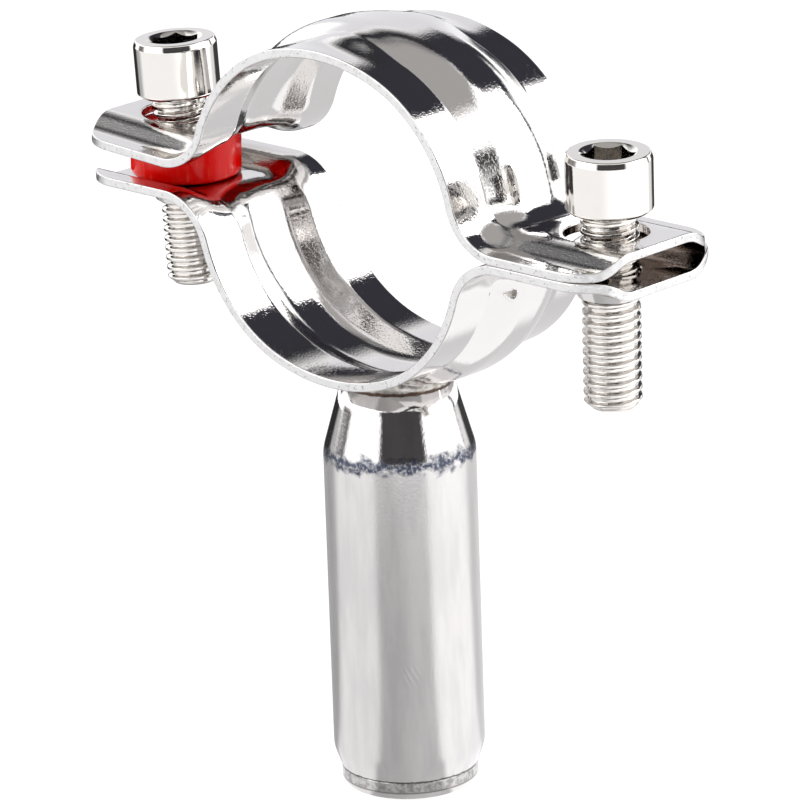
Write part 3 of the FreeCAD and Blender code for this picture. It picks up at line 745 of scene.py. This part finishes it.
class Look(Nodes):
    """A material with its main shader."""

    def __init__(self, name, base, metallic, roughness):
        self.material = bpy.data.materials.new(name)
        self.material.use_nodes = True
        super().__init__(self.material.node_tree)
        self.shader = self.tree.nodes["Principled BSDF"]
        self.shader.inputs["Base Color"].default_value = (*base, 1.0)
        self.shader.inputs["Metallic"].default_value = metallic
        self.shader.inputs["Roughness"].default_value = roughness
        self.place = self.add("ShaderNodeTexCoord").outputs["Object"]

    def noise(self, size_mm, stretch=(1, 1, 1), detail=2.0):
        """Noise whose features are about this many millimetres across, longer where stretch is above one."""
        mapping = self.add("ShaderNodeMapping")
        self.link(self.place, mapping.inputs["Vector"])
        mapping.inputs["Scale"].default_value = [1000.0 / size_mm / part for part in stretch]
        node = self.add("ShaderNodeTexNoise")
        self.link(mapping.outputs["Vector"], node.inputs["Vector"])
        node.inputs["Scale"].default_value = 1.0
        node.inputs["Detail"].default_value = detail
        return node.outputs["Fac"]

    def bump(self, height, depth_mm, before=None):
        """Relief this deep where the height goes from 0 to 1."""
        node = self.add("ShaderNodeBump")
        node.inputs["Strength"].default_value = 1.0
        node.inputs["Distance"].default_value = depth_mm * MM
        self.link(height, node.inputs["Height"])
        if before is not None:
            self.link(before, node.inputs["Normal"])
        return node.outputs["Normal"]

    def drive(self, **sockets):
        for name, value in sockets.items():
            self.link(value, self.shader.inputs[name.replace("_", " ")])

    def height_mm(self):
        """Height above the object's origin."""
        split = self.add("ShaderNodeSeparateXYZ")
        self.link(self.place, split.inputs[0])
        return self.times(split.outputs["Z"], 1000.0)

    def scuff(self):
        """Short slanted scratches in a small oval on the stem's front."""
        offset = self.add("ShaderNodeVectorMath", operation="SUBTRACT")
        self.link(self.place, offset.inputs[0])
        offset.inputs[1].default_value = [part * MM for part in SCUFF_PLACE]
        split = self.add("ShaderNodeSeparateXYZ")
        self.link(offset.outputs[0], split.inputs[0])
        size = self.add("ShaderNodeVectorMath", operation="LENGTH")
        self.link(offset.outputs[0], size.inputs[0])
        inside = self.spread(size.outputs["Value"], SCUFF_HALF * 0.4 * MM, SCUFF_HALF * MM, 1.0, 0.0)
        per_metre = 1.0 / (SCUFF_WAVE * MM)
        slanted = self.math("ADD", self.times(split.outputs["X"], per_metre),
                            self.times(split.outputs["Z"], SCUFF_SLANT * per_metre))
        return self.times(self.math("SINE", slanted), self.times(inside, SCUFF_STRENGTH))


def strap_look():
    """Mirror polish with a little orange peel and fine grain, and painted shade: darker where the sheet
    closes on itself.
    """
    look = Look("strap", STEEL, 1.0, 0.04)
    grain = look.spread(look.noise(0.32, detail=1.0), 0.45, 0.75, 0.0, 1.0)
    waves = look.noise(6.0, detail=0.0)
    # Painted shade: ambient occlusion turns the colour dark brown where the sheet closes on itself
    shade_ao = look.add("ShaderNodeAmbientOcclusion", samples=4)
    shade_ao.inputs["Distance"].default_value = 6.0 * MM
    unshaded_share = look.spread(shade_ao.outputs["AO"], 0.12, 0.55, 0.0, 1.0)
    look.drive(Base_Color=look.mix(unshaded_share, PAINTED_SHADE_STEEL, STEEL),
               Normal=look.bump(waves, 0.018, look.bump(grain, 0.0045)),
               Roughness=look.spread(look.noise(2.0), 0.4, 0.75, 0.02, 0.10))
    return look.material


def edge_look():
    """Sheared edge: dull, with dark flecks."""
    look = Look("edge", (0.64, 0.63, 0.63), 1.0, 0.42)
    flecks = look.spread(look.noise(0.4, detail=2.0), 0.60, 0.74, 0.0, 1.0)
    look.drive(Base_Color=look.mix(flecks, (0.66, 0.655, 0.65), (0.34, 0.34, 0.35)),
               Roughness=look.spread(look.noise(1.2), 0.35, 0.7, 0.28, 0.5),
               Normal=look.bump(look.noise(0.3, detail=3.0), 0.05))
    return look.material


def screw_look(name, base, rough, grain_depth):
    """Bright plated steel with fine grain and a few dull patches."""
    look = Look(name, base, 1.0, rough)
    look.drive(Roughness=look.spread(look.noise(2.0, detail=4.0), 0.4, 0.75, rough, rough + 0.08),
               Normal=look.bump(look.noise(0.5, detail=3.0), grain_depth))
    return look.material


def stem_look():
    """Ground satin tube, polished above its shoulder, with a dark speckled belt between and a turned foot."""
    look = Look("stem", (0.64, 0.635, 0.64), 1.0, 0.2)
    height = look.height_mm()
    uneven = look.spread(look.noise(1.6, detail=3.0), 0.3, 0.7, -0.8, 0.8, False)
    level = look.math("ADD", height, uneven)
    polish = look.spread(level, SHOULDER_Z - 0.1, SHOULDER_Z + 1.0, 0.0, 1.0)

    # Belt
    belt = look.times(look.spread(level, SHOULDER_Z - 1.4, SHOULDER_Z - 0.2, 0.0, 1.0),
                      look.spread(level, SHOULDER_Z + 0.2, SHOULDER_Z + 1.6, 1.0, 0.0))
    belt = look.times(belt, look.spread(look.noise(0.45, detail=2.0), 0.30, 0.52, 0.5, 1.0))
    shade = look.spread(look.noise(2.4, (1, 1, 5), 3.0), 0.35, 0.65, 0.0, 1.0)
    satin = look.mix(shade, SATIN_DARK, SATIN_PALE)
    satin = look.mix(belt, satin, BELT_BLUE)

    # Foot: painted shade in a groove above the rim, a darker band on it and a fine line at its chamfer
    wander = look.spread(look.noise(0.9, detail=3.0), 0.3, 0.7, -0.12, 0.12, False)
    ragged = look.math("ADD", height, wander)
    groove = look.math("ABSOLUTE", look.math("SUBTRACT", ragged, RIM + 0.02))
    groove = look.spread(groove, 0.06, 0.26, 0.9, 0.0)
    band = look.times(look.spread(ragged, RIM_CHAMFER, RIM_CHAMFER + 0.5, 0.0, 1.0),
                      look.spread(ragged, RIM - 0.2, RIM, 1.0, 0.0))
    band = look.times(band, look.spread(look.noise(0.8, detail=3.0), 0.35, 0.65, 0.15, 0.6))
    fine_line = look.math("ABSOLUTE", look.math("SUBTRACT", height, RIM_CHAMFER + 0.25))
    fine_line = look.spread(fine_line, 0.04, 0.2, 0.7, 0.0)
    dark = look.math("MAXIMUM", look.math("MAXIMUM", groove, band), fine_line)
    satin = look.mix(dark, satin, FOOT_DARK)

    scratches = look.times(look.noise(0.14, (1, 1, 30), 1.0), 0.4)
    grain = look.math("ADD", look.noise(0.4, detail=2.0), look.scuff())
    rough = look.math("ADD", look.spread(polish, 0.0, 1.0, 0.21, 0.07, False), look.times(belt, 0.15))
    look.drive(Base_Color=satin, Roughness=rough,
               Normal=look.bump(look.math("ADD", scratches, grain), 0.010))
    return look.material


def weld_look():
    """Bright filler with a dark line of painted shadow where it meets the tube."""
    look = Look("weld", (0.60, 0.58, 0.55), 1.0, 0.28)
    wander = look.spread(look.noise(0.8, detail=2.0), 0.3, 0.7, -0.12, 0.12, False)
    level = look.math("ADD", look.height_mm(), wander)
    # Painted shadow: a near-black line along the weld's foot where it meets the tube
    line = look.spread(level, STEM_TOP + 0.25, STEM_TOP + 0.55, 1.0, 0.0)
    metal = look.mix(look.spread(look.noise(1.5, detail=3.0), 0.4, 0.62, 0.0, 1.0),
                     (0.30, 0.28, 0.25), (0.50, 0.485, 0.46))
    look.drive(Base_Color=look.mix(line, metal, (0.09, 0.06, 0.045)),
               Normal=look.bump(look.noise(0.6, detail=3.0), 0.04))
    return look.material


def sleeve_look():
    """Red gloss plastic with faint upright flecks."""
    look = Look("sleeve", (0.85, 0.004, 0.002), 0.0, 0.16)
    look.shader.inputs["Specular IOR Level"].default_value = 0.22
    flecks = look.spread(look.noise(0.5, (1, 1, 7), 3.0), 0.55, 0.72, 0.0, 1.0)
    look.drive(Base_Color=look.mix(flecks, (0.92, 0.001, 0.0), (0.98, 0.03, 0.008)),
               Roughness=look.spread(look.noise(1.0, detail=3.0), 0.35, 0.7, 0.12, 0.26),
               Normal=look.bump(look.noise(0.6, (1, 1, 8), 2.0), 0.008))
    return look.material


def floor_look():
    """White sweep: plain to the camera but for the shadow, and glowing with painted shade in sectors in
    polished metal.
    """
    look = Look("floor", (0.85, 0.85, 0.85), 0.0, 0.7)
    split = look.add("ShaderNodeSeparateXYZ")
    look.link(look.place, split.inputs[0])
    x, y = split.outputs["X"], split.outputs["Y"]
    aside = look.math("ADD", look.times(x, math.cos(AZIMUTH)), look.times(y, math.sin(AZIMUTH)))
    front = look.math("SUBTRACT", look.times(x, math.sin(AZIMUTH)), look.times(y, math.cos(AZIMUTH)))

    # Degrees round from the camera's side, and metres from the stem
    turn = look.times(look.math("ARCTAN2", aside, front), 180 / math.pi)
    either_way = look.math("ABSOLUTE", turn)
    far = look.math("SQRT", look.math("ADD", look.times(x, x), look.times(y, y)))
    near = look.spread(far, *FLOOR_NEAR, 1.0, 0.0)

    # Painted brightness beyond and near the stem, then the painted shade that each sector puts on it
    first, last, middle_factor = FLOOR_MIDDLE
    middle = look.times(look.spread(either_way, first, last, 1.0, 0.0), near)
    first, last, behind_factor = FLOOR_BEHIND
    behind = look.times(look.spread(either_way, first, last, 0.0, 1.0),
                        look.spread(far, *BEHIND_FAR, 0.0, 1.0))
    factors = [look.spread(turn, *sector) for sector in FLOOR_SECTORS]
    factors.append(look.spread(middle, 0.0, 1.0, 1.0, middle_factor))
    factors.append(look.spread(behind, 0.0, 1.0, 1.0, behind_factor))
    bright = look.spread(near, 0.0, 1.0, *FLOOR_BRIGHT)
    for factor in factors:
        bright = look.times(bright, factor)
    # Glow seen only in reflections: painted light and painted shade on the floor, darker round the stem
    painted_floor_glow = look.add("ShaderNodeEmission")
    look.link(bright, painted_floor_glow.inputs["Strength"])
    painted_floor_glow.inputs["Color"].default_value = (0.99, 0.985, 1.0, 1.0)

    to_camera = look.add("ShaderNodeEmission")
    to_camera.inputs["Strength"].default_value = 0.87
    shadowed = look.add("ShaderNodeBsdfDiffuse")
    shadowed.inputs["Color"].default_value = (0.2, 0.2, 0.2, 1.0)
    plain = look.add("ShaderNodeAddShader")
    look.link(to_camera.outputs[0], plain.inputs[0])
    look.link(shadowed.outputs[0], plain.inputs[1])

    path = look.add("ShaderNodeLightPath")
    unseen = look.add("ShaderNodeMixShader")
    look.link(path.outputs["Is Glossy Ray"], unseen.inputs[0])
    look.link(look.shader.outputs[0], unseen.inputs[1])
    look.link(painted_floor_glow.outputs[0], unseen.inputs[2])
    chosen = look.add("ShaderNodeMixShader")
    look.link(path.outputs["Is Camera Ray"], chosen.inputs[0])
    look.link(unseen.outputs[0], chosen.inputs[1])
    look.link(plain.outputs[0], chosen.inputs[2])
    look.link(chosen.outputs[0], look.tree.nodes["Material Output"].inputs["Surface"])
    return look.material


def make_straps():
    """The upper strap leans about the start of its right ear; the lower is the same form turned over."""
    finishes = [LOOKS["strap"], LOOKS["edge"]]
    pivot = Vector((BEND_X + BEND_RADIUS * math.sin(SPRING), 0, BEND_RADIUS - BEND_RADIUS * math.cos(SPRING)))
    swing = Matrix.Rotation(SPRING, 4, "Y")
    seat = Vector((pivot.x - STRAP_SHIFT, 0, RING_HEIGHT))
    leant = Matrix.Translation((seat - swing @ pivot) * MM) @ swing
    form = Strap(SPRING, -1, TOP_RIB_SHARE).mesh(clearance_profile())
    upper = form.build("upper_strap_skin", finishes, leant)
    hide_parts("upper_strap")
    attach(upper, "cap")

    turned_over = Matrix.Translation((0, 0, RING_HEIGHT * MM)) @ Matrix.Rotation(math.pi, 4, "Y")
    form = Strap(0.0, 1, 0.0).mesh(collar_profile())
    lower = form.build("lower_strap_skin", finishes, turned_over)
    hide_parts("lower_strap")
    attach(lower, "base")


def make_screws():
    """Two screws alike, each with its own lean, height and turn of its socket."""
    for name, (across, lean_x, lean_y, socket_turn, head_up, body) in SCREWS.items():
        lean = screw_place(across, math.radians(lean_x), math.radians(lean_y), RING_HEIGHT + head_up)
        place = lean @ Matrix.Rotation(math.radians(socket_turn), 4, "Z")
        made = screw_mesh().build(name + "_skin", [LOOKS["screw"], LOOKS["thread"]], place)
        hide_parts(name)
        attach(made, body)


def make_stem():
    """Outside from the weld down to the foot, then up inside."""
    neck = [(NECK - 0.5, STEM_TOP + 0.1, 0), (NECK, STEM_TOP, 0)]
    tube = [(TUBE, SHOULDER_Z, SHOULDER_ROUND), (TUBE, RIM + LOWER_TAPER, HEEL_ROUND)]
    step = [(FOOT + RIM_STEP, RIM + 0.15, 0.1), (FOOT - 0.05, RIM, 0.05), (FOOT, RIM - 0.2, 0.1)]
    foot = [(FOOT, RIM_CHAMFER, 0.3), (FOOT - FOOT_CHAMFER, 0.0, 0.2), (FOOT - FOOT_WALL, 0.0, 0.2)]
    inside = [(FOOT - FOOT_WALL - 0.05, FOOT_BORE_DEEP, 0)]
    stem, _ = lathe(rounded(neck + tube + step + foot + inside), 240)
    stem = stem.build("stem_tube_skin", [LOOKS["stem"]])
    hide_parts("stem_tube")
    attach(stem, "base")


def make_weld():
    """An uneven ring between the stem's end and the strap above it."""
    rows = []
    for share in np.linspace(0, 1, 11):
        row = []
        for turn in np.linspace(0, 2 * math.pi, 240, endpoint=False):
            ripple = 0.03 * math.sin(23 * turn) + 0.02 * math.sin(9 * turn + 1.3)
            ripple += 0.015 * math.sin(41 * turn + 0.4)
            bulge = (WELD_BULGE + ripple) * math.sin(math.pi * min(1.0, 0.12 + share))
            radius = NECK - WELD_TUCK + bulge
            x, y = radius * math.cos(turn), radius * math.sin(turn)
            low, high = STEM_TOP - WELD_LAP[0] + ripple, strap_underside(x, y) + WELD_LAP[1]
            row.append((x, y, low + (high - low) * share))
        rows.append(row)
    weld = free_form(rows).build("weld_bead_skin", [LOOKS["weld"]])
    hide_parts("weld_bead")
    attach(weld, "base")


def make_sleeve():
    """Stands between the left ears, turned half as far as the upper one leans."""
    corners = [(SLEEVE_BORE, SLEEVE_HIGH, 0), (SLEEVE_OUTER, SLEEVE_HIGH, SLEEVE_ROUND),
               (SLEEVE_OUTER, 0, SLEEVE_ROUND), (SLEEVE_BORE, 0, 0.3), (SLEEVE_BORE, SLEEVE_HIGH, 0)]
    sleeve, _ = lathe(rounded(corners), 160)
    middle = Vector((-SCREW_ACROSS, 0, RING_HEIGHT + LEFT_GAP / 2))
    half_turned = Matrix.Rotation(SPRING / 2, 4, "Y")
    place = Matrix.Translation((middle - half_turned @ Vector((0, 0, SLEEVE_HIGH / 2))) * MM) @ half_turned
    sleeve = sleeve.build("spacer_sleeve_skin", [LOOKS["sleeve"]], place)
    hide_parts("spacer_sleeve")
    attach(sleeve, "base")


def make_surroundings():
    """Plain white to the camera; a white studio with a grey top and dark cards to everything else."""
    world = bpy.data.worlds.new("studio")
    scene.world = world
    world.use_nodes = True
    world.cycles.sampling_method = "NONE"
    studio = Nodes(world.node_tree)
    background = world.node_tree.nodes["Background"]

    # Direction of sight, shaken a little so that no card has a ruled edge
    straight = studio.add("ShaderNodeTexCoord").outputs["Generated"]
    noise = studio.add("ShaderNodeTexNoise")
    studio.link(straight, noise.inputs["Vector"])
    noise.inputs["Scale"].default_value = 7.0
    noise.inputs["Detail"].default_value = 1.0
    centred = studio.add("ShaderNodeVectorMath", operation="MULTIPLY_ADD")
    studio.link(noise.outputs["Color"], centred.inputs[0])
    centred.inputs[1].default_value = (SHAKE, SHAKE, SHAKE)
    centred.inputs[2].default_value = (-SHAKE / 2, -SHAKE / 2, -SHAKE / 2)
    shaken = studio.add("ShaderNodeVectorMath", operation="ADD")
    studio.link(straight, shaken.inputs[0])
    studio.link(centred.outputs[0], shaken.inputs[1])
    sight = shaken.outputs[0]

    low, high = (math.sin(math.radians(degrees)) for degrees in GREY_TOP_FROM)
    overhead = studio.spread(studio.along(sight, (0, 0, 1)), low, high, 0.0, 1.0)
    colour = studio.mix(overhead, (STUDIO_WHITE,) * 3, GREY_TOP)
    for turn, height, half_wide, half_high, soft, roll, shade in CARDS:
        around, lift, tip = AZIMUTH + math.radians(turn), math.radians(height), math.radians(roll)
        flat = math.cos(lift)
        centre = Vector((math.sin(around) * flat, -math.cos(around) * flat, math.sin(lift)))
        level = Vector((math.cos(around), math.sin(around), 0))
        steep = centre.cross(level) * -1
        wide_way = level * math.cos(tip) + steep * math.sin(tip)
        high_way = steep * math.cos(tip) - level * math.sin(tip)
        ahead = studio.along(sight, centre)
        mask = studio.spread(ahead, 0.05, 0.06, 0.0, 1.0)
        safe = studio.math("MAXIMUM", ahead, 0.05)
        for way, half in ((wide_way, half_wide), (high_way, half_high)):
            off = studio.math("ABSOLUTE", studio.math("DIVIDE", studio.along(sight, way), safe))
            inner, outer = math.tan(math.radians(half - soft)), math.tan(math.radians(half + soft))
            mask = studio.times(mask, studio.spread(off, inner, outer, 1.0, 0.0))
        colour = studio.mix(mask, colour, shade)
    path = studio.add("ShaderNodeLightPath")
    colour = studio.mix(path.outputs["Is Camera Ray"], colour, (1 / GAIN,) * 3)
    studio.link(colour, background.inputs["Color"])
    background.inputs["Strength"].default_value = GAIN


STEEL = (0.66, 0.645, 0.635)
# Painted shade colour for the strap where the sheet closes on itself
PAINTED_SHADE_STEEL = (0.37, 0.32, 0.29)
SATIN_DARK = (0.62, 0.605, 0.60)
SATIN_PALE = (0.69, 0.675, 0.66)
BELT_BLUE = (0.07, 0.08, 0.115)
# Painted shade in the foot's groove; also the colour of its darker band and fine line
FOOT_DARK = (0.10, 0.09, 0.085)
LOOKS = {
    "strap": strap_look(),
    "edge": edge_look(),
    "screw": screw_look("screw", (0.66, 0.64, 0.61), 0.05, 0.004),
    "thread": screw_look("thread", (0.64, 0.615, 0.585), 0.10, 0.006),
    "stem": stem_look(),
    "weld": weld_look(),
    "sleeve": sleeve_look(),
}
NODE_LOOKS = {"upper_strap": "strap", "lower_strap": "strap", "stem_tube": "stem", "weld_bead": "weld",
              "screw_left": "screw", "screw_right": "screw", "spacer_sleeve": "sleeve"}

# Each screw: place across, lean along X and Y and turn of its socket in degrees,
# height of its head over the parting plane, body
SCREWS = {
    "screw_left": (-SCREW_ACROSS, -2.3, -1.3, 13, LEFT_GAP + EAR_TOP + LEFT_STAND, "left_screw"),
    "screw_right": (SCREW_ACROSS, 1.4, -1.4, 42, EAR_TOP + RIGHT_STAND, "right_screw"),
}

# Each card: turn from the camera's side and height in degrees,
# half width, half height, softness, roll, colour
CARDS = [
    (100, 38, 12, 14, 4, 0, (4.0, 4.0, 4.0)),
    (-70, 32, 18, 16, 5, 0, (2.6, 2.6, 2.6)),
    (4, 22, 36, 18, 3, 0, (0.06, 0.056, 0.06)),
    (145, 44, 19, 15, 3, 0, (0.035, 0.035, 0.045)),
    (159, 26, 9, 13, 4, 12, (0.035, 0.035, 0.045)),
    (119, 14, 3, 26, 2, 0, (0.10, 0.10, 0.12)),
    (180, 14, 13, 16, 5, 0, (0.70, 0.70, 0.73)),
    (190, 49, 20, 13, 11, 0, (0.03, 0.03, 0.034)),
    (-106, 5, 12, 6, 4, 0, (0.18, 0.17, 0.18)),
]
STUDIO_WHITE = 1.25
GREY_TOP = (0.38, 0.37, 0.365)
GREY_TOP_FROM = (56, 62)
SHAKE = 0.10
# Polished steel returns about two thirds of the light, so the studio is this much brighter than it looks
GAIN = 1.42

# Painted shade on the glowing floor as polished metal shows it: metres from the stem where its near part
# ends, brightness beyond and near, and sectors in degrees round from the camera's side
FLOOR_NEAR = (0.15, 0.22)
FLOOR_BRIGHT = (1.75, 1.42)
FLOOR_SECTORS = [(-20, 20, 0.80, 1.0), (-122, -105, 0.45, 1.0), (108, 120, 1.0, 0.62)]
FLOOR_MIDDLE = (34, 44, 0.53)
FLOOR_BEHIND = (126, 138, 0.06)
BEHIND_FAR = (0.17, 0.22)

make_camera()
for node, look in NODE_LOOKS.items():
    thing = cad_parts[node]
    thing.data.materials.clear()
    thing.data.materials.append(LOOKS[look])
make_straps()
make_screws()
make_stem()
make_weld()
make_sleeve()
make_surroundings()

bpy.ops.mesh.primitive_plane_add(size=6.0, location=(0, 0, 0))
floor = bpy.context.object
floor.name = "floor"
floor.data.materials.append(floor_look())

scene.view_settings.view_transform = "Standard"
